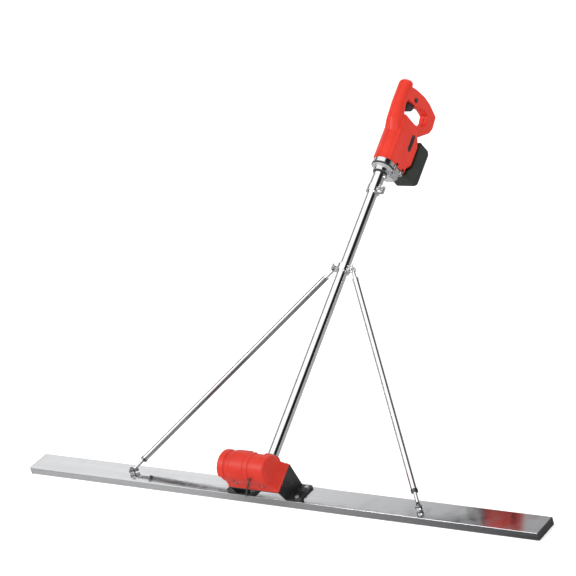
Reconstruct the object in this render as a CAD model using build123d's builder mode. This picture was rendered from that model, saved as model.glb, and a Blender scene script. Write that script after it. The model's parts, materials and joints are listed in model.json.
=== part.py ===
"""Power screed: a two-metre straight-edge shaken by an eccentric shaft at the foot of a leaning pole.

The motor in the drive head turns a spur pair, the long shaft inside the pole and a bevel pair, which
spin the exciter shaft and its weights under the red cover. Two stays brace the pole to the board.

World frame: origin at the centre of the board's underside, +X along the board, +Y towards the
operator, +Z up. Three working planes carry the rest:
  seat     x across the board, y up the slope, z off the bracket's sloping seat
  mast     z along the pole, x across the board, y towards the grip (the underside of the pole)
  profile  x along the pole, y towards the pole's upper side; the side view of the drive head
"""
from build123d import *
from math import cos, radians, sin, sqrt
import os

os.makedirs("parts", exist_ok=True)

# ---------------------------------------------------------------- driving dimensions, mm and degrees
GAP = 0.05                   # radial clearance of running and sliding fits
LOOSE = 0.4                  # clearance between pieces that only sit near each other

BOARD_LENGTH = 2000
BOARD_WIDTH = 90
BOARD_HEIGHT = 25
BOARD_WALL = 2.2
CAP_FLANGE = 3
CAP_PLUG = 20

POLE_TILT = 32               # pole above the horizontal
SEAT_FRONT = (0, -72, 70.5)  # lower front edge of the sloping seat
SEAT_LENGTH = 100
SEAT_HALF = 99               # half-width of bracket and cover
PLATE = 4                    # bracket sheet
FOOT_PLATE = 6
FOOT_LEFT = -150             # outer end of the wide left foot
FOOT_RIGHT = 142             # outer end of the short right foot
FOOT_IN = -35                # inner end of the wide left foot
HOOK_R = 2.4                 # wire of the hook that rises in front of the cover
BOLT_ROW = 28                # foot bolts either side of the board's centre line

POLE_X = 50                  # the pole stands right of the board's centre
POLE_RISE = 32               # pole axis above the seat
POLE_R = 17.5
POLE_BORE = 16
POLE_START = 80
POLE_END = 1145

APEX = 50                    # bevel apex and exciter shaft, measured up the seat
SHAFT_R = 5                  # drive shaft
EXCITER_R = 6
BEVEL_TEETH = 16
BEVEL_MODULE = 1.75
BEVEL_FACE = 6.5

COVER_WALL = 3
BARREL_R = 48
BARREL_RISE = 50             # barrel axis above the seat
BARREL_LEFT = -96            # the barrel reaches almost to the bracket's left side
BARREL_RIGHT = 82

CLAMP_V = 783                # stay clamp along the pole
EAR_X = 35
FOOT_X = 568                 # stay feet along the board
FOOT_Y = -4
EYE_RISE = 34                # stay foot eye above the ground
STAY_TUBE_R = 9.75
STAY_TUBE_BORE = 8.25
STAY_ROD_R = 6
EYE_PLATE = 6
NUT_SPAN = 22                # wing nuts, short enough to turn past the clamps
M8_R = 4

SLEEVE_START = 1071
SLEEVE_R = 21
NECK_V = 1150                # lowest face of the gear case
CASE_TOP = 1190
CASE_R = 36
MOTOR_Y = 45                 # motor axis below the pole axis
SPUR_MODULE = 1.5
OUTPUT_TEETH = 40
PINION_TEETH = 20
SPUR_V = 1169
SPUR_FACE = 14
HEX_FLATS = 8
HEX_START = 1150
SHAFT_END = 1250

SHELL = 3                    # wall of the drive head housing
GRIP_HALF = 18

# ---------------------------------------------------------------- working planes
ALONG = Vector(0, cos(radians(POLE_TILT)), sin(radians(POLE_TILT)))
OFF_SEAT = Vector(0, -sin(radians(POLE_TILT)), cos(radians(POLE_TILT)))
seat = Plane(origin=SEAT_FRONT, x_dir=(1, 0, 0), z_dir=OFF_SEAT)
mast = Plane(origin=seat.from_local_coords((POLE_X, 0, POLE_RISE)), x_dir=(1, 0, 0), z_dir=ALONG)
profile = Plane(origin=mast.origin, x_dir=ALONG, z_dir=(1, 0, 0))


def across(v):
    """Plane square to the pole at distance v along it."""
    return mast.offset(v)


def exciter(x):
    """Plane square to the exciter shaft, x from the pole axis; its own x runs along the pole."""
    return Plane(origin=mast.from_local_coords((x, 0, APEX)), x_dir=ALONG, z_dir=(1, 0, 0))


def save(piece, name):
    """Label a finished piece and write it as its own node."""
    piece.part.label = name
    export_step(piece.part, f"parts/{name}.step")


def tube(plane, length, outer, bore=0.0):
    """A round bar or ring standing on a plane."""
    with BuildPart() as ring:
        with BuildSketch(plane):
            Circle(outer)
            if bore:
                Circle(bore, mode=Mode.SUBTRACT)
        extrude(amount=length)
    return ring.part


def hex_bolt(plane, shank_r, shank, head, flats):
    """A hexagon-head bolt; the head stands on the plane and the shank runs the other way."""
    with BuildPart() as bolt:
        with BuildSketch(plane):
            RegularPolygon(flats / 2, 6, major_radius=False)
        extrude(amount=head)
        chamfer(bolt.faces().sort_by(Axis(plane.origin, plane.z_dir))[-1].edges(), 0.6)
        with BuildSketch(plane):
            Circle(shank_r)
        extrude(amount=-shank)
    return bolt.part


# ================================================================ straight-edge
def board_section(plane):
    """Cross-section of the hollow board, with a middle web."""
    cell = (BOARD_WIDTH - 3 * BOARD_WALL) / 2
    with BuildSketch(plane) as section:
        Rectangle(BOARD_WIDTH, BOARD_HEIGHT)
        fillet(section.vertices(), 1.2)
        with GridLocations(cell + BOARD_WALL, 0, 2, 1):
            Rectangle(cell, BOARD_HEIGHT - 2 * BOARD_WALL, mode=Mode.SUBTRACT)
    return section.sketch


BOARD_START = Plane(origin=(CAP_FLANGE - BOARD_LENGTH / 2, 0, BOARD_HEIGHT / 2),
                    x_dir=(0, 1, 0), z_dir=(1, 0, 0))
BRACKET_HOLES = [(x, y) for x in (FOOT_LEFT + 28, FOOT_IN - 12, FOOT_RIGHT - 15)
                 for y in (-BOLT_ROW, BOLT_ROW)]
STAY_HOLES = [(-FOOT_X, FOOT_Y), (FOOT_X, FOOT_Y)]

with BuildPart() as board_extrusion:
    extrude(board_section(BOARD_START), amount=BOARD_LENGTH - 2 * CAP_FLANGE)
    with BuildSketch(Plane.XY.offset(BOARD_HEIGHT)):
        with Locations(*BRACKET_HOLES, *STAY_HOLES):
            Circle(M8_R + 0.2)
    extrude(amount=-BOARD_HEIGHT / 2, mode=Mode.SUBTRACT)
    with BuildSketch(Plane.XY.offset(BOARD_HEIGHT - BOARD_WALL)):
        with Locations(*STAY_HOLES):
            RectangleRounded(20, 20, 2)
    extrude(amount=2 * BOARD_WALL - BOARD_HEIGHT, mode=Mode.SUBTRACT)
save(board_extrusion, "board_extrusion")


def end_cap(side):
    """Moulded plug that closes one open end of the board; side is -1 or +1."""
    end = side * (BOARD_LENGTH / 2 - CAP_FLANGE)
    face = Plane(origin=(end, 0, BOARD_HEIGHT / 2), x_dir=(0, side, 0), z_dir=(side, 0, 0))
    cell = (BOARD_WIDTH - 3 * BOARD_WALL) / 2
    with BuildPart() as cap:
        with BuildSketch(face):
            RectangleRounded(BOARD_WIDTH, BOARD_HEIGHT, 1.2)
        extrude(amount=CAP_FLANGE)
        chamfer(cap.faces().sort_by(Axis.X)[-1 if side > 0 else 0].edges(), 0.8)
        with BuildSketch(face):
            with GridLocations(cell + BOARD_WALL, 0, 2, 1):
                Rectangle(cell - 2 * LOOSE, BOARD_HEIGHT - 2 * BOARD_WALL - 2 * LOOSE)
        extrude(amount=-CAP_PLUG)
        with BuildSketch(face):
            with GridLocations(cell + BOARD_WALL, 0, 2, 1):
                Rectangle(cell - 6, BOARD_HEIGHT - 2 * BOARD_WALL - 6)
        extrude(amount=-CAP_PLUG, mode=Mode.SUBTRACT)
    return cap.part


with BuildPart() as end_caps:
    add(end_cap(-1))
    add(end_cap(1))
save(end_caps, "end_caps")

INSERT_TOP = BOARD_HEIGHT - BOARD_WALL
with BuildPart() as clinch_nuts:
    with BuildSketch(Plane.XY.offset(INSERT_TOP)):
        with Locations(*BRACKET_HOLES, *STAY_HOLES):
            Circle(7)
            Circle(M8_R, mode=Mode.SUBTRACT)
    extrude(amount=-9)
save(clinch_nuts, "clinch_nuts")

# ================================================================ bracket
SEAT_BACK = seat.from_local_coords((0, SEAT_LENGTH, 0))


def side_outline(x):
    """Side plate: from the board's two edges up to the two ends of the sloping seat."""
    with BuildSketch(Plane(origin=(x, 0, 0), x_dir=(0, 1, 0), z_dir=(1, 0, 0))) as plate:
        with BuildLine():
            Polyline((SEAT_FRONT[1], SEAT_FRONT[2]), (SEAT_BACK.Y, SEAT_BACK.Z),
                     (BOARD_WIDTH / 2, BOARD_HEIGHT), (-BOARD_WIDTH / 2, BOARD_HEIGHT), close=True)
        make_face()
    return plate.sketch


def foot_outline(x_in, x_out):
    """Plan of one foot; the outer front corner is cut back."""
    half = BOARD_WIDTH / 2
    cut = 14 if x_out > x_in else -14
    with BuildSketch(Plane.XY.offset(BOARD_HEIGHT)) as foot:
        with BuildLine():
            Polyline((x_in, -half), (x_out - cut, -half), (x_out, -half + 14), (x_out, half - 6),
                     (x_out - cut / 2, half), (x_in, half), close=True)
        make_face()
    return foot.sketch


COVER_SCREW_X = (-56, 48)
COVER_SCREW_Z = 25           # cover screws above the seat
POCKET_DEPTH = 6
TAB_HEIGHT = 32              # bracket tabs behind the cover screws
TAB_THICK = 3
TAB_V = POCKET_DEPTH + COVER_WALL + LOOSE + TAB_THICK / 2
SEAT_HOLES = [(POLE_X - 106, 32), (POLE_X - 106, 68), (POLE_X - 17, 32), (POLE_X + 17, 32),
              (POLE_X - 17, 74), (POLE_X + 17, 74)]
HOOK_START = Vector(-60, -BOARD_WIDTH / 2 + 4, BOARD_HEIGHT + FOOT_PLATE / 2)
HOOK_BENDS = [(-31, -4.4, -8), (12, -1.6, 48), (33, 2.5, 76)]   # in seat coordinates, tip last
with BuildPart() as base_bracket:
    for x in (-SEAT_HALF, SEAT_HALF - PLATE):
        extrude(side_outline(x), amount=PLATE)
    with BuildSketch(seat):
        with Locations((0, SEAT_LENGTH / 2)):
            Rectangle(2 * SEAT_HALF, SEAT_LENGTH)
    extrude(amount=-PLATE)
    extrude(foot_outline(FOOT_IN, FOOT_LEFT), amount=FOOT_PLATE, dir=(0, 0, 1))
    extrude(foot_outline(SEAT_HALF - PLATE, FOOT_RIGHT), amount=FOOT_PLATE, dir=(0, 0, 1))
    with BuildSketch(Plane.XY.offset(BOARD_HEIGHT + FOOT_PLATE)):
        for near, far in ((-SEAT_HALF, FOOT_LEFT), (SEAT_HALF, FOOT_RIGHT)):
            with Locations(((near + far) / 2, 0)):
                Rectangle(abs(far - near), 5)
    extrude(amount=7, taper=20)
    with BuildSketch(Plane.XY.offset(BOARD_HEIGHT + FOOT_PLATE)):
        with Locations(*BRACKET_HOLES):
            Circle(M8_R + 0.5)
    extrude(amount=-FOOT_PLATE, mode=Mode.SUBTRACT)
    with BuildSketch(seat):
        with Locations(*SEAT_HOLES):
            Circle(3.3)
    extrude(amount=-PLATE, mode=Mode.SUBTRACT)
    with BuildSketch(seat):
        with Locations(*[(x, TAB_V) for x in COVER_SCREW_X]):
            Rectangle(16, TAB_THICK)
    extrude(amount=TAB_HEIGHT)
    for x in COVER_SCREW_X:
        with BuildSketch(Plane(origin=seat.from_local_coords((x, 0, COVER_SCREW_Z)), x_dir=(1, 0, 0),
                               z_dir=ALONG)):
            Circle(2.15)
        extrude(amount=SEAT_LENGTH / 4, mode=Mode.SUBTRACT)
    bends = [seat.from_local_coords(bend) for bend in HOOK_BENDS]
    with BuildLine() as hook:
        Polyline(HOOK_START, HOOK_START + Vector(1, -9, 0), *bends)
    with BuildSketch(Plane(origin=HOOK_START, z_dir=hook.line % 0)):
        Circle(HOOK_R)
    sweep(path=hook.line, transition=Transition.ROUND)
    with Locations(bends[-1]):
        Sphere(HOOK_R + 1.8)
save(base_bracket, "base_bracket")

with BuildPart() as bracket_bolts:
    for x, y in BRACKET_HOLES:
        add(hex_bolt(Plane(origin=(x, y, BOARD_HEIGHT + FOOT_PLATE)), M8_R - GAP, 16, 5.3, 13))
save(bracket_bolts, "bracket_bolts")


# ================================================================ vibrator cover
def drum(x_from, x_to, radius, edge):
    """A round-edged drum along the barrel axis."""
    start = Plane(origin=seat.from_local_coords((x_from, SEAT_LENGTH / 2, BARREL_RISE)),
                  x_dir=ALONG, z_dir=(1, 0, 0))
    with BuildPart() as body:
        with BuildSketch(start):
            Circle(radius)
        extrude(amount=x_to - x_from)
        fillet(body.edges().filter_by(GeomType.CIRCLE), edge)
    return body.part


def raised_band(x_from, x_to, lift, edge):
    """The upper part of a slightly larger drum, standing proud of the barrel."""
    with BuildPart() as band:
        add(drum(x_from, x_to, BARREL_R + lift, edge))
        split(bisect_by=seat.offset(BARREL_RISE + 20), keep=Keep.TOP)
    return band.part


def cover_form(inset):
    """Skirt that draws in from the seat outline to a barrel lying along the board."""
    base_x = 2 * (SEAT_HALF - inset)
    base_y = SEAT_LENGTH - 2 * inset
    with BuildPart() as form:
        with BuildSketch(seat):
            with Locations((0, SEAT_LENGTH / 2)):
                RectangleRounded(base_x, base_y, 5)
        extrude(amount=7)
        with BuildSketch(seat.offset(7)):
            with Locations((0, SEAT_LENGTH / 2)):
                RectangleRounded(base_x - 4, base_y - 4, 4)
        with BuildSketch(seat.offset(44)):
            with Locations(((BARREL_LEFT + BARREL_RIGHT) / 2, SEAT_LENGTH / 2)):
                RectangleRounded(BARREL_RIGHT - BARREL_LEFT - 2 * inset - 2, 86 - 2 * inset, 8)
        loft()
        add(drum(BARREL_LEFT + inset, BARREL_RIGHT - inset, BARREL_R - inset, 9))
    return form.part


COVER_FRONT = Plane(origin=seat.origin, x_dir=(1, 0, 0), z_dir=-ALONG)
COLLAR_R = 27                # collar round the pole
COLLAR_START = SEAT_LENGTH / 2 + 20
COLLAR_LENGTH = 34
COLLAR_BORE = 24
BARREL_BANDS = [(BARREL_LEFT, -72, 4.5, 3), (-66, 22, 3.5, 2.5), (-52, 4, 6.2, 3)]


def pocket_outline(x, grow, depth):
    """Three-cornered outline round a cover screw, on a plane behind the cover's front."""
    with BuildSketch(COVER_FRONT.offset(-depth)) as outline:
        with BuildLine():
            Polyline((x - 12, 17), (x + 15, 17), (x + 16, 62), close=True)
        make_face()
        fillet(outline.vertices(), 2)
        if grow:
            offset(amount=grow, mode=Mode.REPLACE)
    return outline.sketch


def screw_bosses():
    """Solid blocks behind the front skirt, in which the two screw pockets are sunk."""
    with BuildPart() as bosses:
        for x in COVER_SCREW_X:
            depth = POCKET_DEPTH + COVER_WALL
            extrude(pocket_outline(x, COVER_WALL, depth), amount=depth)
        add(cover_form(0), mode=Mode.INTERSECT)
    return bosses.part


with BuildPart() as vibrator_cover:
    add(cover_form(0))
    for x_from, x_to, lift, edge in BARREL_BANDS:
        add(raised_band(x_from, x_to, lift, edge))
    with BuildSketch(across(COLLAR_START)):
        Circle(COLLAR_R)
    extrude(amount=COLLAR_LENGTH)
    chamfer(vibrator_cover.edges().filter_by(GeomType.CIRCLE).filter_by(
        lambda e: abs(e.radius - COLLAR_R) < 0.1).sort_by(Axis(mast.origin, ALONG))[-1], 2)
    add(cover_form(COVER_WALL), mode=Mode.SUBTRACT)
    with BuildSketch(across(COLLAR_START)):
        Circle(COLLAR_BORE)
    extrude(amount=COLLAR_LENGTH + 5, mode=Mode.SUBTRACT)
    add(screw_bosses())
    for x in COVER_SCREW_X:
        extrude(pocket_outline(x, 0, POCKET_DEPTH), amount=POCKET_DEPTH, mode=Mode.SUBTRACT)
        with BuildSketch(COVER_FRONT.offset(-POCKET_DEPTH - 4)):
            with Locations((x, COVER_SCREW_Z)):
                Circle(2.2)
        extrude(amount=6, mode=Mode.SUBTRACT)
save(vibrator_cover, "vibrator_cover")

with BuildPart() as cover_screws:
    for x in COVER_SCREW_X:
        head = Plane(origin=seat.from_local_coords((x, POCKET_DEPTH, COVER_SCREW_Z)), x_dir=(1, 0, 0),
                     z_dir=-ALONG)
        with BuildSketch(head):
            Circle(4.2)
        extrude(amount=2.6)
        with BuildSketch(head):
            Circle(2.1)
        extrude(amount=-9)
        with BuildSketch(head.offset(2.6)):
            Rectangle(5, 1)
            Rectangle(1, 5)
        extrude(amount=-1.4, mode=Mode.SUBTRACT)
save(cover_screws, "cover_screws")

# ================================================================ gearbox and exciter
HOUSING_LEFT = -28
HOUSING_RIGHT = 28
BEARING_R = 13
BEARING_WIDTH = 6
BLOCK_X = -112               # bearing block, x from the pole axis
SEAT_Y = POLE_RISE           # the seat surface in mast coordinates

with BuildPart() as gearbox_housing:
    with BuildSketch(across(24)):
        with Locations((0, (SEAT_Y - 24) / 2)):
            Rectangle(HOUSING_RIGHT - HOUSING_LEFT, SEAT_Y + 24)
    extrude(amount=56)
    chamfer(gearbox_housing.edges().filter_by(lambda e: abs(e.tangent_at(0.5).dot(ALONG)) > 0.99), 3)
    with BuildSketch(across(80)):
        Circle(23)
    extrude(amount=26)
    with BuildSketch(across(24)):
        RectangleRounded(44, 40, 6)
    extrude(amount=49, mode=Mode.SUBTRACT)
    with BuildSketch(across(73)):
        Circle(BEARING_R - 1)
    extrude(amount=8, mode=Mode.SUBTRACT)
    with BuildSketch(across(80)):
        Circle(POLE_R + GAP)
    extrude(amount=30, mode=Mode.SUBTRACT)
    with BuildSketch(exciter(HOUSING_LEFT)):
        Circle(BEARING_R)
    extrude(amount=HOUSING_RIGHT - HOUSING_LEFT, mode=Mode.SUBTRACT)
    with BuildSketch(Plane(origin=mast.from_local_coords((0, SEAT_Y, 0)), x_dir=(1, 0, 0), z_dir=-OFF_SEAT)):
        with Locations((-17, -32), (17, -32), (-17, -74), (17, -74)):
            Circle(3)
    extrude(amount=-10, mode=Mode.SUBTRACT)
save(gearbox_housing, "gearbox_housing")

with BuildPart() as bearing_block:
    with BuildSketch(exciter(BLOCK_X)):
        Circle(BEARING_R + 4)
        with Locations((0, -SEAT_Y / 2)):
            Rectangle(2 * BEARING_R, SEAT_Y)
        with Locations((0, 4 - SEAT_Y)):
            Rectangle(52, 8)
        Circle(BEARING_R, mode=Mode.SUBTRACT)
    extrude(amount=12)
    with BuildSketch(Plane(origin=mast.from_local_coords((0, SEAT_Y, 0)), x_dir=(1, 0, 0), z_dir=OFF_SEAT)):
        with Locations((BLOCK_X + 6, 32), (BLOCK_X + 6, 68)):
            Circle(3)
    extrude(amount=8, mode=Mode.SUBTRACT)
save(bearing_block, "bearing_block")

GEARBOX_BOLTS = [(BLOCK_X + 6, 32), (BLOCK_X + 6, 68), (-17, 32), (17, 32), (-17, 74), (17, 74)]
with BuildPart() as gearbox_bolts:
    for x, v in GEARBOX_BOLTS:
        under = Plane(origin=seat.from_local_coords((POLE_X + x, v, -PLATE)), x_dir=(1, 0, 0),
                      z_dir=-OFF_SEAT)
        add(hex_bolt(under, 3 - GAP, PLATE + 7, 4, 10))
save(gearbox_bolts, "gearbox_bolts")

with BuildPart() as exciter_shaft:
    with BuildSketch(exciter(-122)):
        Circle(EXCITER_R)
    extrude(amount=149)
    chamfer(exciter_shaft.edges().filter_by(GeomType.CIRCLE), 0.6)
save(exciter_shaft, "exciter_shaft")


def bearing(plane, outer, bore):
    """Sealed ball bearing drawn as one ring with shield recesses on both faces."""
    middle = (outer + bore) / 2
    with BuildPart() as ring:
        with BuildSketch(plane):
            Circle(outer - 0.02)
            Circle(bore + GAP, mode=Mode.SUBTRACT)
        extrude(amount=BEARING_WIDTH)
        for offset, depth in ((0, 0.5), (BEARING_WIDTH, -0.5)):
            with BuildSketch(plane.offset(offset)):
                Circle(middle + 1.6)
                Circle(middle - 1.6, mode=Mode.SUBTRACT)
            extrude(amount=depth, mode=Mode.SUBTRACT)
    return ring.part


with BuildPart() as gearbox_bearings:
    for x in (BLOCK_X + 3, HOUSING_LEFT, HOUSING_RIGHT - BEARING_WIDTH):
        add(bearing(exciter(x), BEARING_R, EXCITER_R))
    add(bearing(across(73.6), BEARING_R - 1, SHAFT_R))
save(gearbox_bearings, "gearbox_bearings")

with BuildPart() as eccentric_weights:
    for x in (-92, -60):
        with BuildSketch(exciter(x)):
            Circle(11)
            with BuildLine():
                CenterArc((0, 0), 27, 180, 180)
                Line((-27, 0), (27, 0))
            make_face()
            Circle(EXCITER_R + 0.01, mode=Mode.SUBTRACT)
        extrude(amount=22)
save(eccentric_weights, "eccentric_weights")


def bevel_blank(plane, bore, turn):
    """Mitre gear with straight teeth; the plane holds the apex and its z points at the gear.

    The pitch cone opens at 45 degrees. Each tooth is a wedge that shrinks towards the apex.
    """
    pitch_r = BEVEL_MODULE * BEVEL_TEETH / 2
    cone = pitch_r * sqrt(2)
    dedendum = 1.2 * BEVEL_MODULE
    addendum = 0.8 * BEVEL_MODULE
    near = 1 - BEVEL_FACE / cone
    root_r = pitch_r - dedendum / sqrt(2)
    root_z = pitch_r + dedendum / sqrt(2)
    along_cone = (plane.x_dir + plane.z_dir).normalized()
    out_of_cone = (plane.x_dir - plane.z_dir).normalized()

    def tooth_face(scale):
        """Tooth section square to the pitch cone, at a fraction of the cone distance."""
        section = Plane(origin=plane.origin + along_cone * cone * scale, x_dir=plane.y_dir,
                        z_dir=along_cone)
        lift = 1 if section.y_dir.dot(out_of_cone) > 0 else -1
        root, mid, tip = 1.35, 0.62, 0.30
        with BuildSketch(section) as face:
            with BuildLine():
                Polyline((-root * BEVEL_MODULE * scale, -lift * dedendum * 1.3 * scale),
                         (-mid * BEVEL_MODULE * scale, 0),
                         (-tip * BEVEL_MODULE * scale, lift * addendum * scale),
                         (tip * BEVEL_MODULE * scale, lift * addendum * scale),
                         (mid * BEVEL_MODULE * scale, 0),
                         (root * BEVEL_MODULE * scale, -lift * dedendum * 1.3 * scale), close=True)
            make_face()
        return face.sketch.faces()[0]

    with BuildPart() as tooth:
        loft(sections=[tooth_face(near), tooth_face(1)])

    side = Plane(origin=plane.origin, x_dir=plane.x_dir, z_dir=-plane.y_dir)
    with BuildPart() as gear:
        with BuildSketch(side):
            with BuildLine():
                Polyline((bore, near * root_z), (near * root_r, near * root_z), (root_r, root_z),
                         (root_r, root_z + 1.5), (bore + 3.5, root_z + 1.5), (bore + 3.5, root_z + 5),
                         (bore, root_z + 5), close=True)
            make_face()
        revolve(axis=Axis(plane.origin, plane.z_dir))
        for index in range(BEVEL_TEETH):
            angle = turn + index * 360 / BEVEL_TEETH
            add(tooth.part.rotate(Axis(plane.origin, plane.z_dir), angle))
        with BuildSketch(plane):
            Circle(bore)
        extrude(amount=3 * pitch_r, mode=Mode.SUBTRACT)
    return gear


apex = mast.from_local_coords((0, 0, APEX))
PINION_APEX = Plane(origin=apex, x_dir=(1, 0, 0), z_dir=ALONG)
GEAR_APEX = Plane(origin=apex, x_dir=ALONG, z_dir=(-1, 0, 0))
save(bevel_blank(PINION_APEX, SHAFT_R + 0.01, 0), "bevel_pinion")
save(bevel_blank(GEAR_APEX, EXCITER_R + 0.01, 180 / BEVEL_TEETH), "bevel_gear")

# ================================================================ pole
with BuildPart() as pole_tube:
    with BuildSketch(across(POLE_START)):
        Circle(POLE_R)
        Circle(POLE_BORE, mode=Mode.SUBTRACT)
    extrude(amount=POLE_END - POLE_START)
save(pole_tube, "pole_tube")

with BuildPart() as drive_shaft:
    with BuildSketch(across(APEX + 8)):
        Circle(SHAFT_R)
    extrude(amount=HEX_START - APEX - 8)
    with BuildSketch(across(HEX_START)):
        RegularPolygon(HEX_FLATS / 2, 6, major_radius=False)
    extrude(amount=SHAFT_END - HEX_START)
    chamfer(drive_shaft.faces().sort_by(Axis(mast.origin, ALONG))[-1].edges(), 0.8)
save(drive_shaft, "drive_shaft")

with BuildPart() as shaft_bushings:
    for v in (160, 480, 800, 1110):
        with BuildSketch(across(v)):
            Circle(POLE_BORE - 0.02)
            Circle(SHAFT_R + GAP, mode=Mode.SUBTRACT)
        extrude(amount=18)
        with BuildSketch(across(v)):
            with PolarLocations(10.5, 4):
                Circle(3)
        extrude(amount=18, mode=Mode.SUBTRACT)
save(shaft_bushings, "shaft_bushings")

# ================================================================ stays
CLAMP_HALF = 12
CLAMP_R = 23
EAR_THICK = 5
PIVOT_GAP = 0.3


def stay_plane(side):
    """Plane at the upper eye: z runs down the stay, x is the pivot axis on the pole's upper side."""
    ear = mast.from_local_coords((side * EAR_X, 0, CLAMP_V))
    foot = Vector(side * FOOT_X, FOOT_Y, EYE_RISE)
    down = (foot - ear).normalized()
    pivot = down.cross(ALONG).normalized()
    if pivot.dot(OFF_SEAT) < 0:
        pivot = pivot * -1
    return Plane(origin=ear, x_dir=pivot, z_dir=down), (foot - ear).length


def pivot_plane(side, lift):
    """Plane square to a stay's clamp pivot, raised along the pivot axis."""
    stay, _ = stay_plane(side)
    return Plane(origin=stay.from_local_coords((lift, 0, 0)), x_dir=ALONG, z_dir=stay.x_dir)


def clamp_half(front):
    """Half ring round the pole with two screw flanges."""
    away = -1 if front else 1
    with BuildPart() as half:
        with BuildSketch(across(CLAMP_V - CLAMP_HALF)):
            Circle(CLAMP_R)
            with Locations((0, away * 3.25)):
                Rectangle(2 * CLAMP_R + 5, 5.5)
            Circle(POLE_R + GAP, mode=Mode.SUBTRACT)
            with Locations((0, -away * 30)):
                Rectangle(80, 61, mode=Mode.SUBTRACT)
        extrude(amount=2 * CLAMP_HALF)
    return half.part


CLAMP_SCREWS = [(x, v) for x in (-21.8, 21.8) for v in (CLAMP_V - 6, CLAMP_V + 6)]


def clamp_screw_holes(radius):
    """Round bars through the four clamp screw positions, square to the seat."""
    with BuildPart() as bars:
        for x, v in CLAMP_SCREWS:
            with BuildSketch(Plane(origin=mast.from_local_coords((x, 0, v)), x_dir=(1, 0, 0),
                                   z_dir=OFF_SEAT)):
                Circle(radius)
            extrude(amount=10, both=True)
    return bars.part


with BuildPart() as stay_clamp_front:
    add(clamp_half(True))
    add(clamp_screw_holes(1.9), mode=Mode.SUBTRACT)
    for x, v in CLAMP_SCREWS:
        with BuildSketch(Plane(origin=mast.from_local_coords((x, -6, v)), x_dir=(1, 0, 0), z_dir=OFF_SEAT)):
            Circle(2.9)
        extrude(amount=8, mode=Mode.SUBTRACT)
save(stay_clamp_front, "stay_clamp_front")

with BuildPart() as stay_clamp_rear:
    add(clamp_half(False))
    for side in (-1, 1):
        with BuildSketch(pivot_plane(side, -EYE_PLATE / 2 - PIVOT_GAP - EAR_THICK)):
            Circle(9.5)
            with Locations((0, side * 9)):
                Rectangle(19, 22)
        extrude(amount=EAR_THICK)
    with BuildSketch(across(CLAMP_V - CLAMP_HALF)):
        Circle(POLE_R + GAP)
    extrude(amount=2 * CLAMP_HALF, mode=Mode.SUBTRACT)
    for side in (-1, 1):
        with BuildSketch(pivot_plane(side, -20)):
            Circle(M8_R + GAP)
        extrude(amount=40, mode=Mode.SUBTRACT)
    add(clamp_screw_holes(1.9), mode=Mode.SUBTRACT)
save(stay_clamp_rear, "stay_clamp_rear")

with BuildPart() as stay_clamp_screws:
    for x, v in CLAMP_SCREWS:
        head = Plane(origin=mast.from_local_coords((x, -6.02, v)), x_dir=(1, 0, 0), z_dir=OFF_SEAT)
        with BuildSketch(head):
            Circle(2.6)
        extrude(amount=2.4)
        with BuildSketch(head):
            Circle(1.85)
        extrude(amount=-11)
save(stay_clamp_screws, "stay_clamp_screws")

with BuildPart() as stay_pivot_bolts:
    for side in (-1, 1):
        under = pivot_plane(side, -EYE_PLATE / 2 - PIVOT_GAP - EAR_THICK - 0.02)
        flipped = Plane(origin=under.origin, x_dir=under.x_dir, z_dir=-under.z_dir)
        add(hex_bolt(flipped, M8_R, EAR_THICK + EYE_PLATE + 11, 5, 13))
save(stay_pivot_bolts, "stay_pivot_bolts")


def wing_nut(plane, bore, span):
    """Hub with two rounded wings that rise from it."""
    hub = span * 0.24
    with BuildPart() as nut:
        with BuildSketch(plane):
            Circle(hub)
        extrude(amount=6, taper=6)
        upright = Plane(origin=plane.origin, x_dir=plane.x_dir, z_dir=plane.y_dir)
        rise = 1 if upright.y_dir.dot(plane.z_dir) > 0 else -1
        with BuildSketch(upright.offset(-1.4)):
            for side in (-1, 1):
                with BuildLine():
                    Polyline((side * hub * 0.7, rise * 0.6), (side * (span / 2 - 3), rise * 5),
                             (side * (span / 2 - 3), rise * 11), (side * (hub - 0.4), rise * 5.5),
                             close=True)
                make_face()
                with Locations((side * (span / 2 - 3.4), rise * 9)):
                    Circle(3.4)
        extrude(amount=2.8)
        with BuildSketch(plane.offset(-1)):
            Circle(bore)
        extrude(amount=16, mode=Mode.SUBTRACT)
    return nut


for side, name in ((-1, "stay_wing_nut_left"), (1, "stay_wing_nut_right")):
    save(wing_nut(pivot_plane(side, EYE_PLATE / 2 + 0.3), M8_R + GAP, NUT_SPAN), name)


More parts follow.
